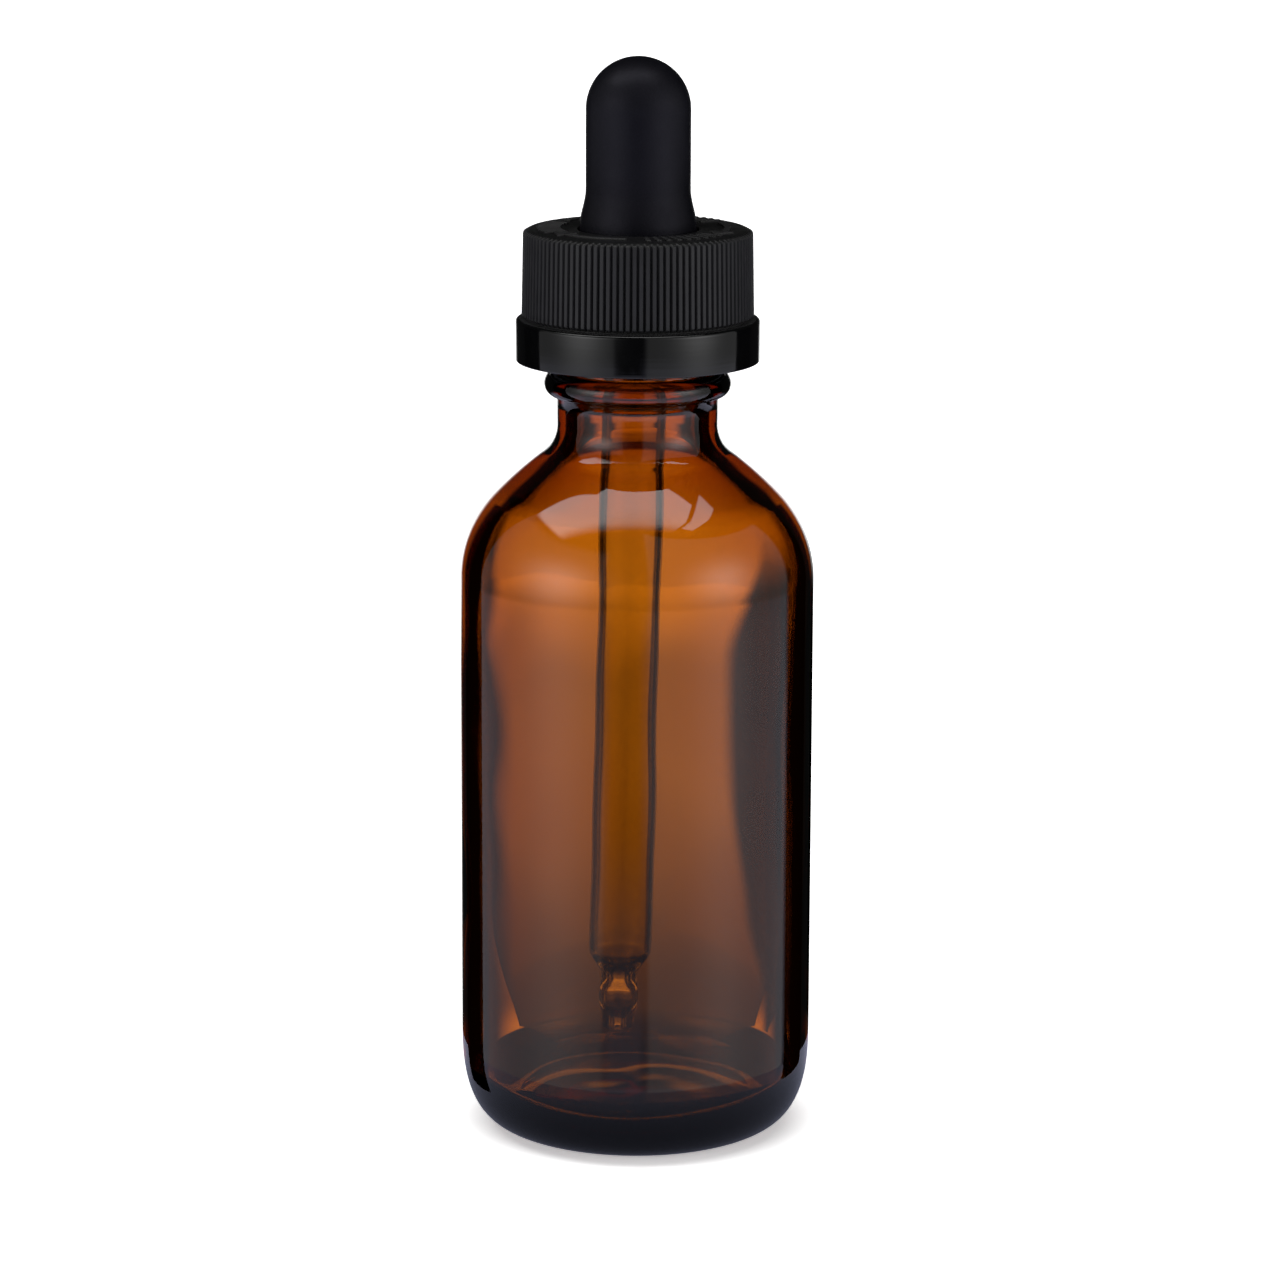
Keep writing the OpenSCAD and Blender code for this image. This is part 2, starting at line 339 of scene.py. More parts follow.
def lathe(name, outline, columns, move=None, closed=False, sharp=40.0):
    """Turns an outline of (radius, height) points round the axis. Points on the axis become one vertex.

    move(angle, radius, height, index) may return another radius and height for a vertex, where index is the
    number of its ring. closed joins the last ring to the first.
    """
    verts, rings = [], []
    for index, (r, z) in enumerate(outline):
        if r < 1e-6:
            rings.append([len(verts)] * columns)
            verts.append((0.0, 0.0, z))
            continue
        rings.append([len(verts) + k for k in range(columns)])
        for k in range(columns):
            a = TAU * k / columns
            rr, zz = move(a, r, z, index) if move else (r, z)
            verts.append((rr * math.cos(a), rr * math.sin(a), zz))
    faces = []
    pairs = list(zip(rings, rings[1:])) + ([(rings[-1], rings[0])] if closed else [])
    for low, high in pairs:
        for k in range(columns):
            n = (k + 1) % columns
            face = []
            for v in (low[k], low[n], high[n], high[k]):
                if v not in face:
                    face.append(v)
            if len(face) > 2:
                faces.append(face)
    return make_object(name, verts, faces, sharp)


def thread_height(angle, z, low_z, turns, half, start=0.0, fade=0.1):
    """How much of a thread's full height stands at this angle and height, from 0 to 1."""
    best = 0.0
    turn = ((angle - start) % TAU) / TAU
    while turn <= turns:
        d = abs(z - low_z - PITCH * turn)
        if d < half[0]:
            body = smooth((half[0] - d) / (half[0] - half[1]))
            best = max(best, body * smooth(min(turn, turns - turn) / fade))
        turn += 1
    return best


def lean(obj, degrees, pivot_z):
    """Tilts an object's mesh towards -X about the axis through the given height."""
    pivot = Matrix.Translation((0, 0, pivot_z * MM))
    obj.data.transform(pivot @ Matrix.Rotation(math.radians(degrees), 4, "Y") @ pivot.inverted())


def extrude(outline, low, high, bevel):
    """A flat-topped solid over an outline of (x, y) points, upper edge bevelled, as points and faces."""
    n = len(outline)
    cx = sum(p[0] for p in outline) / n
    cy = sum(p[1] for p in outline) / n

    def inset(p):
        d = math.hypot(p[0] - cx, p[1] - cy)
        s = max(0.0, 1 - bevel / d) if d > 1e-6 else 1.0
        return cx + (p[0] - cx) * s, cy + (p[1] - cy) * s

    rows = [[(p[0], p[1], low) for p in outline], [(p[0], p[1], high - bevel) for p in outline]]
    rows.append([(*inset(p), high) for p in outline])
    verts = [v for row in rows for v in row]
    faces = [list(range(n))[::-1], [2 * n + i for i in range(n)]]
    for r in range(2):
        for i in range(n):
            k = (i + 1) % n
            faces.append([r * n + i, r * n + k, (r + 1) * n + k, (r + 1) * n + i])
    return verts, faces


def sector(r_in, r_out, centre, width, steps):
    """Outline of a block between two radii, centred on an angle in degrees."""
    inner, outer = [], []
    for i in range(steps + 1):
        a = math.radians(centre - width / 2 + width * i / steps)
        outer.append((r_out * math.cos(a), r_out * math.sin(a)))
        inner.append((r_in * math.cos(a), r_in * math.sin(a)))
    return outer + inner[::-1]


def ring_block(r_in, r_out, free, root, centre, width, steps, bevel):
    """A block between two radii, from its root to its free end, which is bevelled, as points and faces."""
    b_angle = math.degrees(bevel / ((r_in + r_out) / 2))
    rings = [
        (root, 0.0, 0.0),
        (free + math.copysign(bevel, root - free), 0.0, 0.0),
        (free, bevel, b_angle),
    ]
    verts, n = [], 2 * (steps + 1)
    for z, inset, inset_angle in rings:
        outline = sector(r_in + inset, r_out - inset, centre, width - 2 * inset_angle, steps)
        verts += [(x, y, z) for x, y in outline]
    faces = []
    for r in range(2):
        for i in range(n):
            k = (i + 1) % n
            quad = [r * n + i, r * n + k, (r + 1) * n + k, (r + 1) * n + i]
            faces.append(quad if free > root else quad[::-1])
    for i in range(steps):
        quad_low = [i, i + 1, n - 2 - i, n - 1 - i]
        quad_high = [2 * n + v for v in quad_low]
        faces.append(quad_low[::-1] if free > root else quad_low)
        faces.append(quad_high if free > root else quad_high[::-1])
    return verts, faces


def shells_object(name, shells):
    """One object from closed shells, given as (verts, faces) in millimetres."""
    verts, faces = [], []
    for v, f in shells:
        faces += [[i + len(verts) for i in face] for face in f]
        verts += v
    return make_object(name, verts, faces, 30.0)


def add_shells(obj, shells):
    """Adds closed shells, given as (verts, faces) in millimetres, to an object's mesh."""
    extra = shells_object(obj.name + "_extra", shells)
    bpy.ops.object.select_all(action="DESELECT")
    extra.select_set(True)
    obj.select_set(True)
    bpy.context.view_layer.objects.active = obj
    bpy.ops.object.join()
    return obj


# ---- shader nodes ----

class Nodes:
    """Short names for the nodes of one shader tree."""

    def __init__(self, tree):
        self.tree = tree
        tree.nodes.clear()

    def add(self, kind, **settings):
        node = self.tree.nodes.new(kind)
        for key, value in settings.items():
            setattr(node, key, value)
        return node

    def link(self, source, target):
        self.tree.links.new(source, target)

    def feed(self, socket, value):
        if isinstance(value, bpy.types.NodeSocket):
            self.link(value, socket)
        else:
            socket.default_value = value

    def math(self, operation, a, b=0.0):
        node = self.add("ShaderNodeMath", operation=operation)
        self.feed(node.inputs[0], a)
        self.feed(node.inputs[1], b)
        return node.outputs[0]

    def total(self, values):
        out = values[0]
        for v in values[1:]:
            out = self.math("ADD", out, v)
        return out

    def product(self, values):
        out = values[0]
        for v in values[1:]:
            out = self.math("MULTIPLY", out, v)
        return out

    def ramp(self, value, low, high, start=0.0, end=1.0):
        """A soft step: start at low, end at high. low may be above high."""
        node = self.add("ShaderNodeMapRange", interpolation_type="SMOOTHSTEP", clamp=True)
        if low > high:
            low, high, start, end = high, low, end, start
        sockets = ("Value", "From Min", "From Max", "To Min", "To Max")
        for socket, v in zip(sockets, (value, low, high, start, end)):
            self.feed(node.inputs[socket], v)
        return node.outputs["Result"]

    def window(self, value, low, high, soft):
        """1 between low and high, 0 outside, with soft edges of the given half width."""
        rise = self.ramp(value, low - soft, low + soft)
        fall = self.ramp(value, high + soft, high - soft)
        return self.math("MULTIPLY", rise, fall)

    def bell(self, value, centre, below, above):
        """The exponent of a bell curve whose half widths differ below and above its centre."""
        d = self.math("SUBTRACT", value, centre)
        q = self.math("ADD", self.math("DIVIDE", self.math("MAXIMUM", d), above),
                      self.math("DIVIDE", self.math("MINIMUM", d), below))
        return self.math("MULTIPLY", q, q)

    def noise(self, scale, detail, rough=0.5, stretch=(1, 1, 1)):
        """Noise over object coordinates; scale is in features per metre."""
        coords = self.add("ShaderNodeTexCoord")
        mapping = self.add("ShaderNodeMapping")
        mapping.inputs["Scale"].default_value = stretch
        self.link(coords.outputs["Object"], mapping.inputs["Vector"])
        node = self.add("ShaderNodeTexNoise")
        self.link(mapping.outputs["Vector"], node.inputs["Vector"])
        for key, v in (("Scale", scale), ("Detail", detail), ("Roughness", rough)):
            node.inputs[key].default_value = v
        return node.outputs["Fac"]

    def bump(self, height, distance, below=None):
        """Relief that is distance metres deep, on top of the relief below it."""
        node = self.add("ShaderNodeBump")
        node.inputs["Strength"].default_value = 1.0
        node.inputs["Distance"].default_value = distance
        self.link(height, node.inputs["Height"])
        if below is not None:
            self.link(below, node.inputs["Normal"])
        return node.outputs["Normal"]

    def blend(self, share, a, b):
        """One colour turning into another."""
        node = self.add("ShaderNodeMix", data_type="RGBA")
        self.feed(node.inputs["Factor"], share)
        node.inputs["A"].default_value = (*a, 1)
        node.inputs["B"].default_value = (*b, 1)
        return node.outputs["Result"]


def material(name, colour):
    """A material with a Principled shader, seen in this colour in the viewport, and its nodes."""
    mat = bpy.data.materials.new(name)
    mat.use_nodes = True
    mat.diffuse_color = (*colour, 1)
    n = Nodes(mat.node_tree)
    out = n.add("ShaderNodeOutputMaterial")
    shader = n.add("ShaderNodeBsdfPrincipled")
    n.link(shader.outputs[0], out.inputs["Surface"])
    return mat, n, shader, out


def glass_material(name, colour, absorb, ior, rough, wave):
    """Glass with faint ripples in its skin. absorb is what a metre takes from red, green and blue."""
    mat, n, shader, out = material(name, colour)
    shader.inputs["Base Color"].default_value = (1, 1, 1, 1)
    shader.inputs["Transmission Weight"].default_value = 1.0
    shader.inputs["IOR"].default_value = ior
    density = max(absorb)
    volume = n.add("ShaderNodeVolumeAbsorption")
    volume.inputs["Color"].default_value = (*(1 - a / density for a in absorb), 1)
    volume.inputs["Density"].default_value = density
    n.link(volume.outputs[0], out.inputs["Volume"])
    ripple = n.noise(70.0, 1.0, 0.4, (1.0, 1.0, 0.45))
    n.link(n.bump(ripple, wave), shader.inputs["Normal"])
    n.link(n.ramp(n.noise(160.0, 3.0), 0.3, 0.8, *rough), shader.inputs["Roughness"])
    return mat


def rubber_material():
    """Matte black moulded rubber: fine grain, soft patches of bloom."""
    mat, n, shader, _ = material("bulb_rubber", RUBBER["colour"])
    patches = n.noise(260.0, 4.0, 0.55)
    n.link(n.blend(patches, RUBBER["dark"], RUBBER["bloom"]), shader.inputs["Base Color"])
    n.link(n.ramp(patches, 0.25, 0.75, *RUBBER["rough"]), shader.inputs["Roughness"])
    shader.inputs["Specular IOR Level"].default_value = RUBBER["shine"]
    shader.inputs["Specular Tint"].default_value = RUBBER["tint"]
    grain = n.bump(n.noise(5200.0, 2.0), RUBBER["grain"])
    n.link(n.bump(n.noise(420.0, 3.0), RUBBER["uneven"], grain), shader.inputs["Normal"])
    shader.inputs["IOR"].default_value = 1.5
    return mat


def plastic_material(name, low, high, rough, grain, streaks=0.0, shine=0.5):
    """Black moulded plastic between two colours and two roughnesses. grain and streaks are in metres."""
    mat, n, shader, _ = material(name, high)
    mottle = n.noise(900.0, 3.0, 0.6, (1, 1, 0.5))
    n.link(n.blend(mottle, low, high), shader.inputs["Base Color"])
    n.link(n.ramp(mottle, 0.3, 0.7, *rough), shader.inputs["Roughness"])
    normal = n.bump(n.noise(3600.0, 2.0), grain)
    if streaks:
        normal = n.bump(n.noise(60.0, 2.0, 0.5, (1, 1, 30)), streaks, normal)
    n.link(normal, shader.inputs["Normal"])
    shader.inputs["Specular IOR Level"].default_value = shine
    shader.inputs["IOR"].default_value = 1.5
    return mat


# ---- the pieces ----

def build_bottle():
    g = GLASS
    floor_r = BODY_R - g["heel_w"] - g["ring_w"]
    shoulder = (BODY_R - g["shoulder_r"], g["shoulder_z"])
    low_turn, high_turn = (90 - v for v in g["slope"])
    slope = along(shoulder, g["shoulder_r"] - g["slope_r"], low_turn)
    top = along(slope, g["slope_r"], high_turn)
    bend = (top[0] - g["neck_r"]) / (1 - math.cos(math.radians(high_turn)))
    fillet = along(top, bend, high_turn)
    bead_z = LIP_Z - g["bead_drop"]
    lip = g["lip_round"]
    inner_r = BODY_R - g["wall"]
    inner_floor = g["floor"] - g["inner_dome"]
    ring_r = (floor_r + BODY_R - g["heel_w"]) / 2
    edge_in, edge_z = g["push_up_edge"]

    outside = dome(g["push_up"], floor_r - edge_in, g["push_up"] - edge_z, 8)
    outside += arc((ring_r, g["foot_round"]), g["foot_round"], 215, 270, 5)
    outside += heel(BODY_R, 0, g["heel_w"], g["heel_h"], g["heel_power"], 28)
    outside += arc(shoulder, g["shoulder_r"], 0, low_turn, 26)
    outside += arc(slope, g["slope_r"], low_turn, high_turn, 12)
    outside += arc(fillet, bend, 180 + high_turn, 180, 18)
    outside += arc((g["bead_r"] - g["bead_half"], bead_z), g["bead_half"], -90, 90, 16)
    outside += [(g["finish_r"], bead_z + g["bead_half"])]
    outside += arc((g["finish_r"] - lip, LIP_Z - lip), lip, 0, 90, 8)
    outside = fine(tidy(outside), 2.0)
    dense = []
    for p, q in zip(outside, outside[1:]):
        on_finish = p[1] > bead_z + g["bead_half"] - 0.1 and q[1] < LIP_Z - lip + 0.1 and p[1] < q[1]
        dense += fine([p, q], 0.2 if on_finish else 2.0)[:-1]
    outside = dense + [outside[-1]]

    inside = arc((g["bore_r"] + lip, LIP_Z - lip), lip, 90, 180, 8)
    inside += arc(fillet, fillet[0] - g["bore_r"], 180, 180 + high_turn, 18)
    inside += arc(shoulder, g["shoulder_r"] - g["wall"], low_turn, 0, 24)
    inside += heel(inner_r, inner_floor, *g["inner_heel"], 2.0, 20)[::-1]
    inside += dome(g["floor"], inner_r - g["inner_heel"][0], g["inner_dome"], 8)[::-1]
    inside = fine(tidy(inside), 2.0)

    first_inside = len(outside)
    finish_low = bead_z + g["bead_half"]
    thread_low = LIP_Z - g["thread_drop"] - g["thread_turns"] * PITCH
    below_lip, fade = g["ripple_below_lip"]

    def move(a, r, z, index):
        if index < first_inside:
            if z > finish_low:
                rise = thread_height(a, z, thread_low, g["thread_turns"], g["thread_half"])
                r += (g["thread_r"] - g["finish_r"]) * rise
            return r, z
        side = grows(z, *g["ripple_from"]) * fades(z, LIP_Z - below_lip, fade)
        low = grows(r, *g["swirl_from"]) * fades(z, *g["swirl_to"])
        wave, swirl = waves(WALL_WAVES, a, z), waves(FLOOR_WAVES, a, r)
        return r + g["ripple"] * side * wave * r / inner_r, z + g["swirl"] * low * swirl

    return lathe("bottle_glass", tidy(outside + inside), g["columns"], move, sharp=0)


def build_pipette():
    p = PIPETTE
    tip_z = p["neck_z"] - p["tip_drop"]
    full_z = p["neck_z"] + p["taper"]
    ball_low, ball_high = (tip_z + v for v in p["ball_z"])
    inner_low, inner_high = (tip_z + v for v in p["inner_ball_z"])
    end, (rim, inner_rim) = p["end_round"], p["top_round"]
    outside = arc((p["end_r"] - end, tip_z + end), end, 270, 350, 5)
    outside += s_curve((p["end_r"] + 0.05, tip_z + 0.5), (p["ball_r"], ball_low), 10)
    outside += s_curve((p["ball_r"], ball_high), (p["neck_r"], p["neck_z"] - 0.4), 10)
    outside += s_curve((p["neck_r"], p["neck_z"]), (p["r"], full_z), 16)
    outside += arc((p["r"] - rim, p["top_z"] - rim), rim, 0, 90, 6)
    inside = arc((p["bore_r"] + inner_rim, p["top_z"] - inner_rim), inner_rim, 90, 180, 6)
    inside += s_curve((p["bore_r"], full_z), (p["inner_neck_r"], p["neck_z"] + 0.2), 16)
    inside += s_curve((p["inner_neck_r"], p["neck_z"] - 0.3), (p["inner_ball_r"], inner_high), 10)
    inside += s_curve((p["inner_ball_r"], inner_low), (p["hole_r"], tip_z + p["hole_z"]), 10)
    inside += arc((p["hole_r"] + 0.2, tip_z + 0.2), 0.2, 180, 270, 4)
    outline = fine(tidy(outside + inside), 4.0)
    tube = lathe("pipette_glass", outline, p["columns"], closed=True, sharp=0)
    lean(tube, p["lean"], p["top_z"])
    return tube


def build_bulb():
    b = BULB
    low, top = BULB_Z
    flange_z = LIP_Z + b["flange_t"] - b["play"]
    socket_r = PIPETTE["r"] + 0.1
    cavity_r = b["r"] - b["wall"]
    dome_z = top - b["r"]
    outside = rounded([(socket_r + 0.4, low), (b["hub_r"], low), (b["hub_r"], LIP_Z),
                       (b["flange_r"], LIP_Z), (b["flange_r"], flange_z), (b["foot_r"], flange_z),
                       (b["foot_r"], b["flare_z"])], [0, 0.45, 0.25, 0.4, 0.4, 0.2, 0], 4)
    outside += s_curve((b["foot_r"], b["flare_z"]), (b["r"], b["split_z"]), 14)
    outside += fine([(b["r"], b["split_z"]), (b["r"], dome_z)], 0.7)
    outside += arc((0, dome_z), b["r"], 0, 90, 28)
    inside = arc((0, dome_z), cavity_r, 90, 0, 16)
    inside += fine([(cavity_r, dome_z), (cavity_r, b["cavity_z"])], 0.7)
    inside += [(socket_r, b["cavity_z"]), (socket_r, low + 0.4)]
    outline = tidy(outside + inside)
    slant = math.tan(math.radians(PIPETTE["lean"]))
    bulb = lathe("rubber_bulb", outline, b["columns"], closed=True, sharp=35)
    for v in bulb.data.vertices:
        r = math.hypot(v.co.x, v.co.y)
        z = v.co.z / MM
        if r < (socket_r + 0.41) * MM and z < b["cavity_z"] + 0.01:
            v.co.x -= slant * (PIPETTE["top_z"] - z) * MM
    return bulb


def build_inner_cap():
    c = INNER
    low, top = INNER_Z[0], INNER_Z[1] - c["lug_h"]
    disc = top - c["disc_t"]
    hole = BULB["foot_r"] + 0.1
    outline = [(c["bore_r"] + 0.3, low), (c["rim_r"], low), (c["rim_r"], low + c["rim_t"]),
               (c["r"], low + c["rim_t"] + 0.6), (c["r"], top), (hole, top), (hole, disc),
               (c["bore_r"], disc), (c["bore_r"], low + 0.3), (c["bore_r"] + 0.3, low)]
    outline = rounded(outline, [0, 0.25, 0.25, 0.5, 0.35, 0.2, 0.15, 0.3, 0.1, 0], 3)
    outline = tidy(outline)[:-1]
    dense, bore = [], c["bore_r"]
    for p, q in zip(outline, outline[1:] + outline[:1]):
        on_bore = abs(p[0] - bore) < 0.01 and abs(q[0] - bore) < 0.01
        dense += fine([p, q], 0.16 if on_bore else 3.0)[:-1]
    glass_low = LIP_Z - GLASS["thread_drop"] - GLASS["thread_turns"] * PITCH
    thread_low = glass_low - PITCH / 2 + PITCH * 0.1

    def move(a, r, z, index):
        if abs(r - bore) < 0.02:
            rise = thread_height(a, z, thread_low, c["thread_turns"], c["thread_half"], math.radians(36))
            r -= (bore - c["crest_r"]) * rise
        return r, z

    cap = lathe("threaded_inner_cap", dense, c["columns"], move, closed=True, sharp=35)
    free, root = top + c["lug_h"], top - LUG_ROOT
    lugs = [ring_block(*c["lug_r"], free, root, i * 360 / c["lugs"], c["lug_arc"], LUG_STEPS, LUG_BEVEL)
            for i in range(c["lugs"])]
    return add_shells(cap, lugs)


def build_outer_cap():
    c = OUTER
    low = OUTER_Z
    top = low + c["height"]
    band_top = low + c["band_h"]
    root = c["crest_r"] - c["depth"]
    plate = top - c["plate_t"]
    hook = INNER_Z[0] - 0.05
    ribs_low = band_top + 0.25
    wall = [(root, band_top + 0.02), (root, ribs_low), (root, ribs_low + 0.25)]
    outline = [(c["snap_r"], low + 0.15), (c["snap_r"] + 0.15, low), (c["band_r"], low),
               (c["band_r"], band_top)]
    corners = [0, 0.1, 0.2, 0.42]
    outline += wall + [(root, top), (c["hole_r"], top), (c["hole_r"], plate), (c["shell_r"], plate),
                       (c["shell_r"], band_top - 0.5), (c["skirt_r"], band_top - 1.0), (c["skirt_r"], hook),
                       (c["snap_r"], hook), (c["snap_r"], low + 0.15)]
    corners += [0.1, 0, 0, 0.55, 0.2, 0.1, 0.3, 0.1, 0.1, 0.1, 0.1, 0]
    outline = fine(tidy(rounded(outline, corners, 5)), 2.4)[:-1]
    columns = c["ribs"] * c["per_rib"]

    def move(a, r, z, index):
        if r > c["shell_r"] + 0.2 and z > band_top + 0.1 and r < root + 0.01:
            phase = abs((a * c["ribs"] / TAU + 0.5) % 1.0 - 0.5)
            crest = smooth((c["rib_half"] - phase) / c["rib_side"])
            drop = (top - z) / (top - band_top)
            ends = smooth((z - band_top - 0.1) / c["rib_end"]) * smooth((top - 0.05 - z) / c["rib_end"])
            r += (c["depth"] + c["draft"] * drop) * crest * ends
        return r, z

    cap = lathe("ribbed_outer_cap", outline, columns, move, closed=True, sharp=50)
    free, root = plate - INNER["lug_h"], plate + LUG_ROOT
    half = 180 / INNER["lugs"]
    lugs = [ring_block(*INNER["lug_r"], free, root, half + i * 2 * half, c["lug_arc"], LUG_STEPS, LUG_BEVEL)
            for i in range(INNER["lugs"])]
    return add_shells(cap, lugs)


def build_marks():
    """Raised arrows and bars on the outer cap's top ring."""
    c = OUTER
    top = OUTER_Z + c["height"]
    free, root = top + c["mark_h"], top - 0.1
    pitch = 360 / c["mark_groups"]
    shells = []
    for i in range(c["mark_groups"]):
        turn = i * pitch
        shells.append(ring_block(*c["arrow_r"], free, root, turn, c["arrow_arc"], 24, c["mark_bevel"]))
        a = math.radians(turn - c["arrow_arc"] / 2)
        cos, sin = math.cos(a), math.sin(a)
        head = [(x * cos - y * sin, x * sin + y * cos) for x, y in c["arrow_head"]]
        shells.append(extrude(head, root, free, c["mark_bevel"]))
        for k in range(c["bars"]):
            bar = turn + pitch / 2 + (k - (c["bars"] - 1) / 2) * c["bar_step"]
            shells.append(ring_block(*c["bar_r"], free, root, bar, c["bar_arc"], 1, c["mark_bevel"]))
    return shells_object("cap_top_marks", shells)


def build_object():
    amber = glass_material("amber_glass", **AMBER_GLASS)
    clear = glass_material("clear_glass", **CLEAR_GLASS)
    rubber = rubber_material()
    satin = plastic_material("cap_satin", **CAP_SATIN)
    # A darker copy of the satin plastic for the top ring: painted shade
    ring = plastic_material("cap_top_ring_painted_shade", **CAP_TOP_RING_PAINTED_SHADE)
    gloss = plastic_material("cap_gloss", **CAP_GLOSS)
    inner = plastic_material("inner_plastic", **INNER_PLASTIC)

    bottle = build_bottle()
    bottle.data.materials.append(amber)
    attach(bottle, "bottle")
    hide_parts("bottle")

    pipette = build_pipette()
    pipette.data.materials.append(clear)
    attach(pipette, "pipette")
    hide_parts("pipette")

    bulb = build_bulb()
    bulb.data.materials.append(rubber)
    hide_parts("bulb", "bulb_teat")
    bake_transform(bulb)

    inner_cap = build_inner_cap()
    inner_cap.data.materials.append(inner)
    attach(inner_cap, "inner_cap")
    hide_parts("inner_cap")

    outer_cap = build_outer_cap()
    outer_cap.data.materials.append(satin)
    outer_cap.data.materials.append(gloss)
    outer_cap.data.materials.append(ring)
    band_top = OUTER_Z + OUTER["band_h"]
    top = OUTER_Z + OUTER["height"]
    # Slot 1 is the glossy band, slot 2 the faces of the top ring that look up, which get a darker copy of the
    # satin plastic: painted shade
    for face in outer_cap.data.polygons:
        height = face.center.z / MM
        reach = math.hypot(face.center.x, face.center.y) / MM
        if height < band_top + 0.01 and reach > OUTER["skirt_r"] + 0.1:
            face.material_index = 1
        elif height > top - 0.3 and face.normal.z > 0.7:
            face.material_index = 2
    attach(outer_cap, "outer_cap")
    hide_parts("outer_cap")

    marks = build_marks()
    marks.data.materials.append(satin)
    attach(marks, "outer_cap")


# ---- studio ----

# Directions of the lights, in degrees: azimuth is 0 straight in front of the object and grows towards +X,
# elevation is 0 at the level. A pair such as (47, 39) is where a soft edge starts and where it is over
SOFTBOX_LEFT = {"centre": -54.0, "width": 22.0, "span": (-122.0, -22.0), "top": (47.0, 39.0), "slant": 0.0,
                "even": 0.30, "peak": 2.5}
SOFTBOX_RIGHT = {"centre": 59.0, "width": 20.0, "span": (8.0, 114.0), "top": (68.0, 66.0), "slant": 0.28,
                 "even": 0.42, "peak": 2.4}
SOFTBOX_EDGE = 2.5
SOFTBOX_GLOW = {"elevation": 13.0, "below": 22.0, "above": 14.0}

# The panel overhead and the pane beside it, laid out flat one unit above the object: across is x, back is y
PANEL = {"front": (-0.42, -0.13), "rear": (0.05, 0.03), "left": (-0.97, -0.86), "right": (0.472, 0.460),
         "skew": 0.28, "wing_at": -0.36, "wing": -0.70, "light": 4.0}
PANE = {"across": (0.50, 0.63), "across_edge": 0.008, "back": (-0.27, 0.19), "back_edge": 0.02, "light": 3.4}

# The white sweep behind the object. Its crown is there only for what comes through glass
SWEEP = {"half": (16.0, 8.5), "flare": (-12.8, -11.4), "flare_by": 5.0, "rise": (-12.9, -11.9), "dim": 0.8,
         "light": 1.8, "foot": (-18.0, -13.5), "top": (5.0, -4.0), "crown": (17.5, 12.0),
         "crown_fade": (12.0, -4.0), "crown_light": 0.7}

# The pale table that gloss and glass see where no disc of the table covers it: in front, its edge under the
# softboxes and its middle between them; on all sides, the part that is steeply below
TABLE = {"colour": (0.88, 0.90, 1.18, 1), "ahead": (-124.0, 116.0), "ahead_edge": 3.0, "gap": (-20.0, 5.0),
         "gap_edge": 5.0, "edge": (-9.0, -14.0), "edge_light": 0.26, "middle": (-14.5, -17.5),
         "middle_light": 0.42, "steep": (-20.0, -26.0), "steep_light": 0.42, "below": (-28.0, -60.0),
         "below_loss": 0.16}
ROOM_LIGHT = 0.010

# The floor, and discs that stand for the table close to the object, in millimetres. Between the two distances
# from the object's axis in reach, the light goes from its first to its second value. The lower light close to
# the
# axis is painted shade: a painted contact shadow on the floor, painted shade of the object on the discs
FLOOR = {"size": 2500.0, "height": -0.02, "colour": (1.6, 1.6, 1.6, 1), "reach": (16.0, 22.5),
         "light": (0.34, 0.74)}
SHADE = {"size": 18.5, "height": -0.2}
TABLE_BEHIND = {"size": 300.0, "height": -0.4, "half_angle": 25.0, "colour": (1.0, 1.0, 1.0, 1),
                "reach": (8.0, 175.0), "light": (0.0, 0.76), "far": (225.0, 300.0)}
TABLE_FOOT = {"size": 42.0, "height": -0.5, "colour": (0.88, 0.90, 1.18, 1), "reach": (34.0, 62.0),
              "light": (0.0, 0.40)}
TABLE_IN_GLOSS = {"size": 42.0, "height": -0.6, "colour": (0.80, 0.84, 1.15, 1), "reach": (15.0, 42.0),
                  "light": (0.15, 0.45)}
DISC_SIDES = 64

# The lit strip of the table behind: half width at the object, the share of the distance it widens by, and
# what that share grows by far out
STRIP = {"half": 11.0, "spread": (0.287, 0.149), "far": (215.0, 275.0), "far_spread": 0.07}

# Black cards that stand upright: one end and the other as (x, y), and their lowest and highest points
CARDS = {
    "card_left": ((-26.6, -3.7), (-26.6, 8.0), (-1.0, 101.0)),
    "card_right": ((33.5, -1.6), (33.5, 14.0), (-1.0, 101.0)),
    "card_behind": ((12.0, 45.0), (38.0, 45.0), (-2.0, 66.0)),
}
# The soft edge of the card behind: where it starts, how wide it is, and how far it bows out between heights
CARD_EDGE = {"at": 12.2, "soft": 3.2, "bows": ((36.0, 8.0, 4.0), (12.0, -2.0, 5.0), (43.0, 57.0, 7.0)),
             "top": (65.0, 50.0)}

# Lens and sensor are millimetres, the place is in metres, and the turns are degrees
CAMERA = {"lens": 135.8, "sensor": 36.0, "place": (0.00036, -0.521, 0.170), "down": 12.45, "roll": 0.2}


def directions(n):
    """x, y and z of the direction looked in, its azimuth and its elevation."""
    coords = n.add("ShaderNodeTexCoord")
    parts = n.add("ShaderNodeSeparateXYZ")
    n.link(coords.outputs["Generated"], parts.inputs[0])
    x, y, z = parts.outputs[:3]
    degrees = 180 / math.pi
    azimuth = n.math("MULTIPLY", n.math("ARCTAN2", x, n.math("MULTIPLY", y, -1.0)), degrees)
    elevation = n.math("MULTIPLY", n.math("ARCSINE", z), degrees)
    return x, y, z, azimuth, elevation


def softbox_light(n, box, azimuth, elevation):
    """An even softbox with a hot middle."""
    height = n.math("ADD", elevation, n.math("MULTIPLY", azimuth, box["slant"]))
    tall = n.ramp(height, *box["top"])
    flat = n.product([n.window(azimuth, *box["span"], SOFTBOX_EDGE), tall, box["even"]])
    glow = SOFTBOX_GLOW
    hot = n.math("ADD", n.bell(azimuth, box["centre"], box["width"], box["width"]),
                 n.bell(elevation, glow["elevation"], glow["below"], glow["above"]))
    hot = n.math("EXPONENT", n.math("MULTIPLY", hot, -1.0))
    return n.math("ADD", flat, n.product([hot, tall, box["peak"]]))


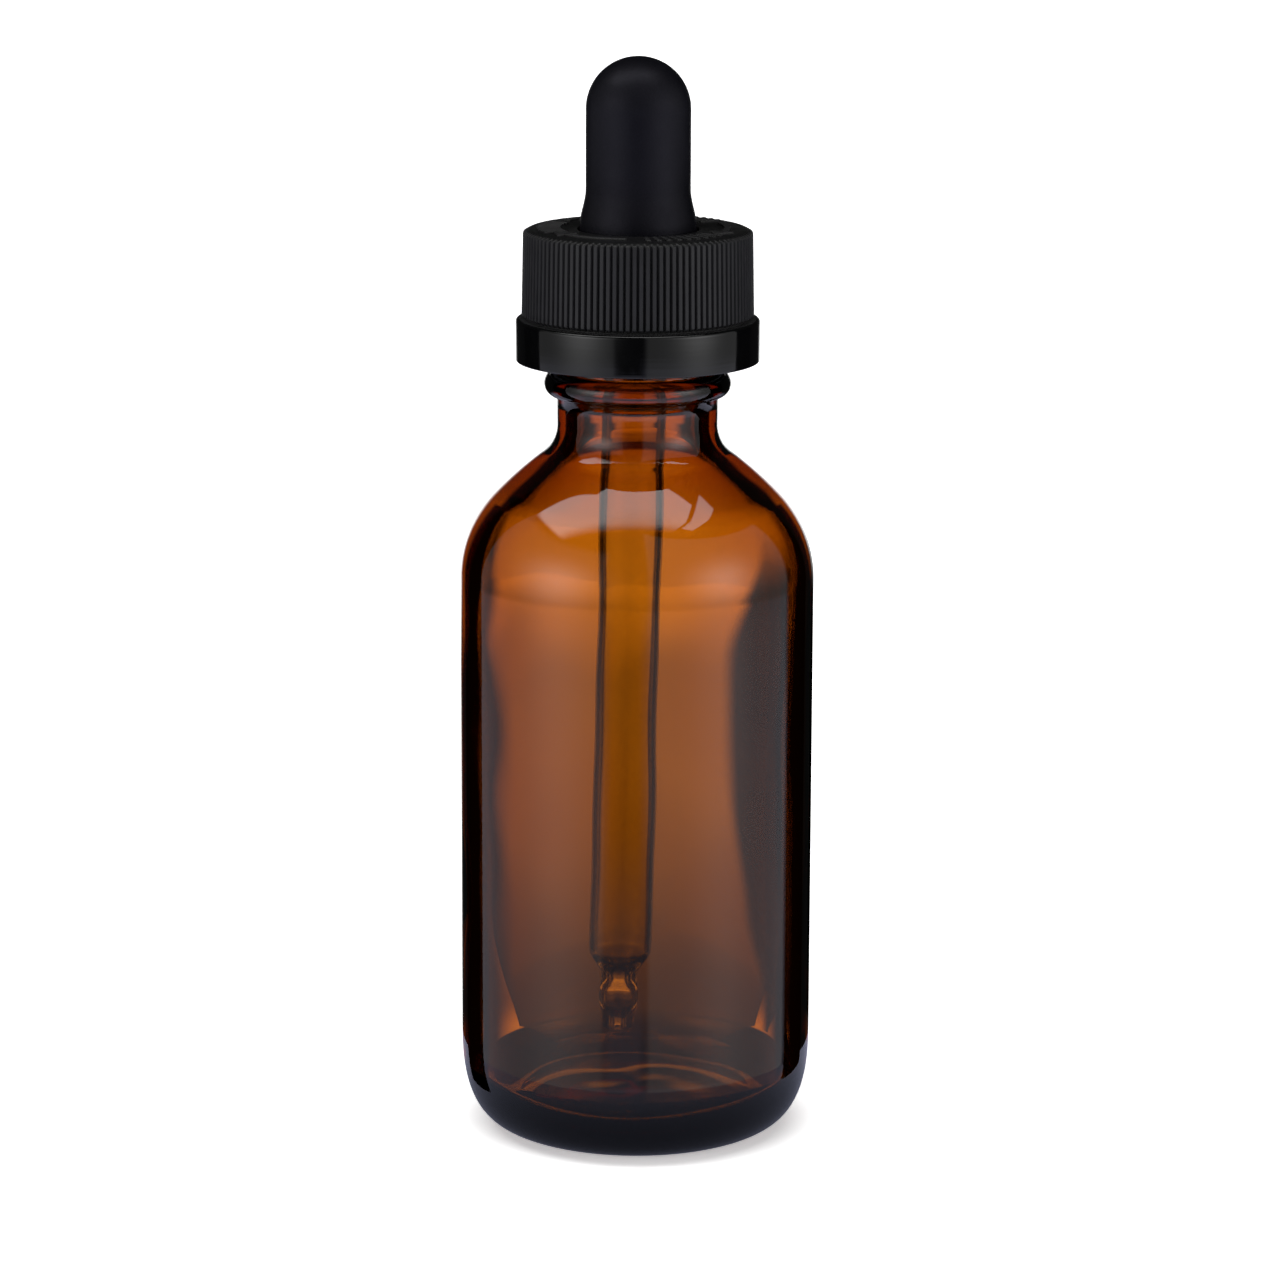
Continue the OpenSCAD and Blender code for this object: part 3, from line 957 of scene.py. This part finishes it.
def overhead_light(n, x, y, z):
    """The panel over the object, whose left wing is swept forward, and the narrow pane beside it."""
    lowest = 0.02  # keeps the flat layout finite near the level
    up = n.math("MAXIMUM", z, lowest)
    across = n.math("DIVIDE", x, up)
    back = n.math("DIVIDE", y, up)
    skew = n.math("SUBTRACT", across, n.math("MULTIPLY", back, PANEL["skew"]))
    wing = n.math("MULTIPLY", n.math("SUBTRACT", across, PANEL["wing_at"]), PANEL["wing"])
    rear = n.ramp(n.math("SUBTRACT", back, n.math("MAXIMUM", wing, 0.0)), *PANEL["rear"])
    panel = n.product([n.ramp(back, *PANEL["front"]), rear, n.ramp(across, *PANEL["left"]),
                       n.ramp(skew, *PANEL["right"]), PANEL["light"]])
    pane = n.product([n.window(skew, *PANE["across"], PANE["across_edge"]),
                      n.window(back, *PANE["back"], PANE["back_edge"]), PANE["light"]])
    return n.math("ADD", panel, pane)


def sweep_light(n, azimuth, elevation, through):
    """The sweep behind the object; through is 1 for light that has come through glass."""
    w = SWEEP
    behind = n.math("SUBTRACT", 180.0, n.math("ABSOLUTE", azimuth))
    flare = n.ramp(elevation, *w["flare"], 0.0, w["flare_by"])
    wide = n.ramp(n.math("SUBTRACT", behind, flare), *w["half"])
    rise = n.math("MAXIMUM", n.ramp(elevation, *w["rise"], w["dim"], w["light"]),
                  n.math("MULTIPLY", through, w["light"]))
    foot = n.ramp(elevation, *w["foot"])
    crown = n.product([n.ramp(elevation, *w["crown"]),
                       n.ramp(elevation, *w["crown_fade"], w["crown_light"], 1.0), through])
    top = n.math("MAXIMUM", n.ramp(elevation, *w["top"]), crown)
    return n.product([wide, rise, foot, top])


def table_light(n, azimuth, elevation):
    """The table's light, by how far down one looks and to which side."""
    t = TABLE
    ahead = n.window(azimuth, *t["ahead"], t["ahead_edge"])
    gap = n.window(azimuth, *t["gap"], t["gap_edge"])
    edge = n.product([ahead, n.ramp(elevation, *t["edge"]), t["edge_light"], n.math("SUBTRACT", 1.0, gap)])
    middle = n.product([ahead, gap, n.ramp(elevation, *t["middle"]), t["middle_light"]])
    steep = n.ramp(elevation, *t["steep"], 0.0, t["steep_light"])
    loss = n.math("MULTIPLY", n.ramp(elevation, *t["below"]), t["below_loss"])
    return n.math("MAXIMUM", n.total([edge, middle, n.math("SUBTRACT", steep, loss)]), 0.0)


def studio_light():
    """Two softboxes at the front, a panel overhead and a white sweep behind, with dark gaps between them."""
    world = bpy.data.worlds.new("studio")
    world.use_nodes = True
    n = Nodes(world.node_tree)
    out = n.add("ShaderNodeOutputWorld")
    ray = n.add("ShaderNodeLightPath")
    x, y, z, azimuth, elevation = directions(n)
    lights = n.total([softbox_light(n, SOFTBOX_LEFT, azimuth, elevation),
                      softbox_light(n, SOFTBOX_RIGHT, azimuth, elevation),
                      overhead_light(n, x, y, z),
                      sweep_light(n, azimuth, elevation, ray.outputs["Is Transmission Ray"]),
                      ROOM_LIGHT])
    lamps = n.add("ShaderNodeBackground")
    n.link(lights, lamps.inputs["Strength"])
    ground = n.add("ShaderNodeBackground")
    ground.inputs["Color"].default_value = TABLE["colour"]
    n.link(table_light(n, azimuth, elevation), ground.inputs["Strength"])
    lit = n.add("ShaderNodeAddShader")
    n.link(lamps.outputs[0], lit.inputs[0])
    n.link(ground.outputs[0], lit.inputs[1])
    plain = n.add("ShaderNodeBackground")
    plain.inputs["Color"].default_value = (1, 1, 1, 1)
    plain.inputs["Strength"].default_value = 1.0
    mix = n.add("ShaderNodeMixShader")
    n.link(ray.outputs["Is Camera Ray"], mix.inputs[0])
    n.link(lit.outputs[0], mix.inputs[1])
    n.link(plain.outputs[0], mix.inputs[2])
    n.link(mix.outputs[0], out.inputs[0])
    bpy.context.scene.world = world


def stage_plane(name, size, height, verts=4, half_angle=180.0):
    """A flat square or disc that isn't part of the object, or the sector of a disc that lies behind it."""
    points = [] if half_angle == 180.0 else [(0.0, 0.0, height)]
    for k in range(verts):
        a = math.radians(90 - half_angle + 2 * half_angle * (k + 0.5) / verts)
        points.append((size * math.cos(a), size * math.sin(a), height))
    obj = make_object(name, points, [list(range(len(points)))], 0)
    return obj


def studio_floor():
    """The white floor that the camera sees, glowing with a painted contact shadow round the object, and what
    the object's glass and gloss see in its place.
    """
    floor = stage_plane("floor", FLOOR["size"], FLOOR["height"])
    mat = bpy.data.materials.new("floor_white_painted_shadow")
    mat.use_nodes = True
    n = Nodes(mat.node_tree)
    out = n.add("ShaderNodeOutputMaterial")
    diffuse = n.add("ShaderNodeBsdfDiffuse")
    diffuse.inputs["Color"].default_value = FLOOR["colour"]
    glow = n.add("ShaderNodeEmission")
    # The glow is dimmer close to the object's axis: a painted contact shadow
    n.link(reach_ramp(n, FLOOR["reach"], *FLOOR["light"]), glow.inputs["Strength"])
    both = n.add("ShaderNodeAddShader")
    n.link(diffuse.outputs[0], both.inputs[0])
    n.link(glow.outputs[0], both.inputs[1])
    n.link(both.outputs[0], out.inputs[0])
    floor.data.materials.append(mat)
    hide_from(floor, "diffuse", "glossy", "transmission", "shadow")

    shade = stage_plane("shade_under_bottle", SHADE["size"], SHADE["height"], DISC_SIDES)
    shade.data.materials.append(card_material("shade_black"))
    hide_from(shade, "camera", "diffuse", "shadow", "glossy")

    # The table discs glow and are dimmer close to the object: painted shade of the object on the table; the
    # strip behind is painted light
    table_disc("table_behind", "table_far_painted_shade", TABLE_BEHIND, "glossy")
    table_disc("table_round_foot", "table_foot_painted_shade", TABLE_FOOT, "glossy")
    table_disc("table_in_gloss", "table_near_painted_shade", TABLE_IN_GLOSS, "transmission")


def table_disc(name, look, disc, hidden):
    """A disc of the table, or its sector behind the object. hidden names the rays that don't see it."""
    obj = stage_plane(name, disc["size"], disc["height"], DISC_SIDES, disc.get("half_angle", 180.0))
    obj.data.materials.append(table_material(look, disc))
    hide_from(obj, "camera", "diffuse", "shadow", hidden)


def from_axis(n):
    """Distance from the object's axis, in metres."""
    coords = n.add("ShaderNodeTexCoord")
    reach = n.add("ShaderNodeVectorMath", operation="LENGTH")
    n.link(coords.outputs["Object"], reach.inputs[0])
    return reach.outputs["Value"]


def reach_ramp(n, reach, start=0.0, end=1.0):
    """A soft step over the distance from the object's axis, between two distances in millimetres."""
    return n.ramp(from_axis(n), reach[0] * MM, reach[1] * MM, start, end)


def strip_share(n):
    """Share of the table's light that is left: all of it behind the object, none out to the sides."""
    coords = n.add("ShaderNodeTexCoord")
    parts = n.add("ShaderNodeSeparateXYZ")
    n.link(coords.outputs["Object"], parts.inputs[0])
    aside = n.math("SUBTRACT", n.math("ABSOLUTE", parts.outputs[0]), STRIP["half"] * MM)
    spread = n.math("DIVIDE", aside, from_axis(n))
    widening = reach_ramp(n, STRIP["far"], 0.0, STRIP["far_spread"])
    return n.ramp(n.math("SUBTRACT", spread, widening), *STRIP["spread"])


def table_material(name, disc):
    """The pale table, darker where the object shades it. One that goes far out is lit only in a strip."""
    mat = bpy.data.materials.new(name)
    mat.use_nodes = True
    n = Nodes(mat.node_tree)
    out = n.add("ShaderNodeOutputMaterial")
    glow = n.add("ShaderNodeEmission")
    glow.inputs["Color"].default_value = disc["colour"]
    light = reach_ramp(n, disc["reach"], *disc["light"])
    if "far" in disc:
        light = n.product([n.math("ADD", light, reach_ramp(n, disc["far"])), strip_share(n)])
    n.link(light, glow.inputs["Strength"])
    n.link(glow.outputs[0], out.inputs["Surface"])
    return mat


def hide_from(obj, *rays):
    """Keeps an object out of sight of these kinds of light rays."""
    for kind in rays:
        setattr(obj, "visible_" + kind, False)


def card_material(name, cover=None):
    """Flat black. cover(nodes) may give how much of the card there is at each of its points."""
    mat = bpy.data.materials.new(name)
    mat.use_nodes = True
    n = Nodes(mat.node_tree)
    out = n.add("ShaderNodeOutputMaterial")
    black = n.add("ShaderNodeEmission")
    black.inputs["Strength"].default_value = 0.0
    if cover is None:
        n.link(black.outputs[0], out.inputs[0])
        return mat
    clear = n.add("ShaderNodeBsdfTransparent")
    mix = n.add("ShaderNodeMixShader")
    n.link(cover(n), mix.inputs[0])
    n.link(clear.outputs[0], mix.inputs[1])
    n.link(black.outputs[0], mix.inputs[2])
    n.link(mix.outputs[0], out.inputs[0])
    return mat


def soft_edge(n):
    """Cover of the card behind the bottle: it starts softly along a bowed edge."""
    coords = n.add("ShaderNodeTexCoord")
    parts = n.add("ShaderNodeSeparateXYZ")
    n.link(coords.outputs["Object"], parts.inputs[0])
    across = n.math("MULTIPLY", parts.outputs[0], 1 / MM)
    height = n.math("MULTIPLY", parts.outputs[2], 1 / MM)
    bows = [n.ramp(height, start, end, 0.0, out) for start, end, out in CARD_EDGE["bows"]]
    past = n.math("SUBTRACT", across, n.total([*bows, CARD_EDGE["at"]]))
    return n.product([n.ramp(past, 0.0, CARD_EDGE["soft"]), n.ramp(height, *CARD_EDGE["top"])])


def studio_cards():
    """Black cards at both sides, seen only by gloss, and one behind, seen by gloss and glass."""
    black = card_material("card_black")
    soft = card_material("card_soft", soft_edge)
    for name, (start, end, (low, high)) in CARDS.items():
        corners = [(*start, low), (*end, low), (*end, high), (*start, high)]
        card = make_object(name, corners, [[0, 1, 2, 3]], 0)
        is_behind = name == "card_behind"
        card.data.materials.append(soft if is_behind else black)
        hide_from(card, "camera", "diffuse", "shadow")
        if not is_behind:
            hide_from(card, "transmission")


def studio_camera():
    """The camera in front of the object and above it, tilted down, with a slight roll."""
    data = bpy.data.cameras.new("camera")
    data.lens = CAMERA["lens"]
    data.sensor_width = CAMERA["sensor"]
    camera = bpy.data.objects.new("camera", data)
    camera.location = CAMERA["place"]
    tilt = Matrix.Rotation(math.radians(90 - CAMERA["down"]), 3, "X")
    roll = Matrix.Rotation(math.radians(CAMERA["roll"]), 3, "Z")
    camera.rotation_euler = (tilt @ roll).to_euler()
    bpy.context.scene.collection.objects.link(camera)
    bpy.context.scene.camera = camera


studio_camera()
studio_light()
studio_floor()
studio_cards()
build_object()

bpy.context.scene.view_settings.view_transform = "Standard"
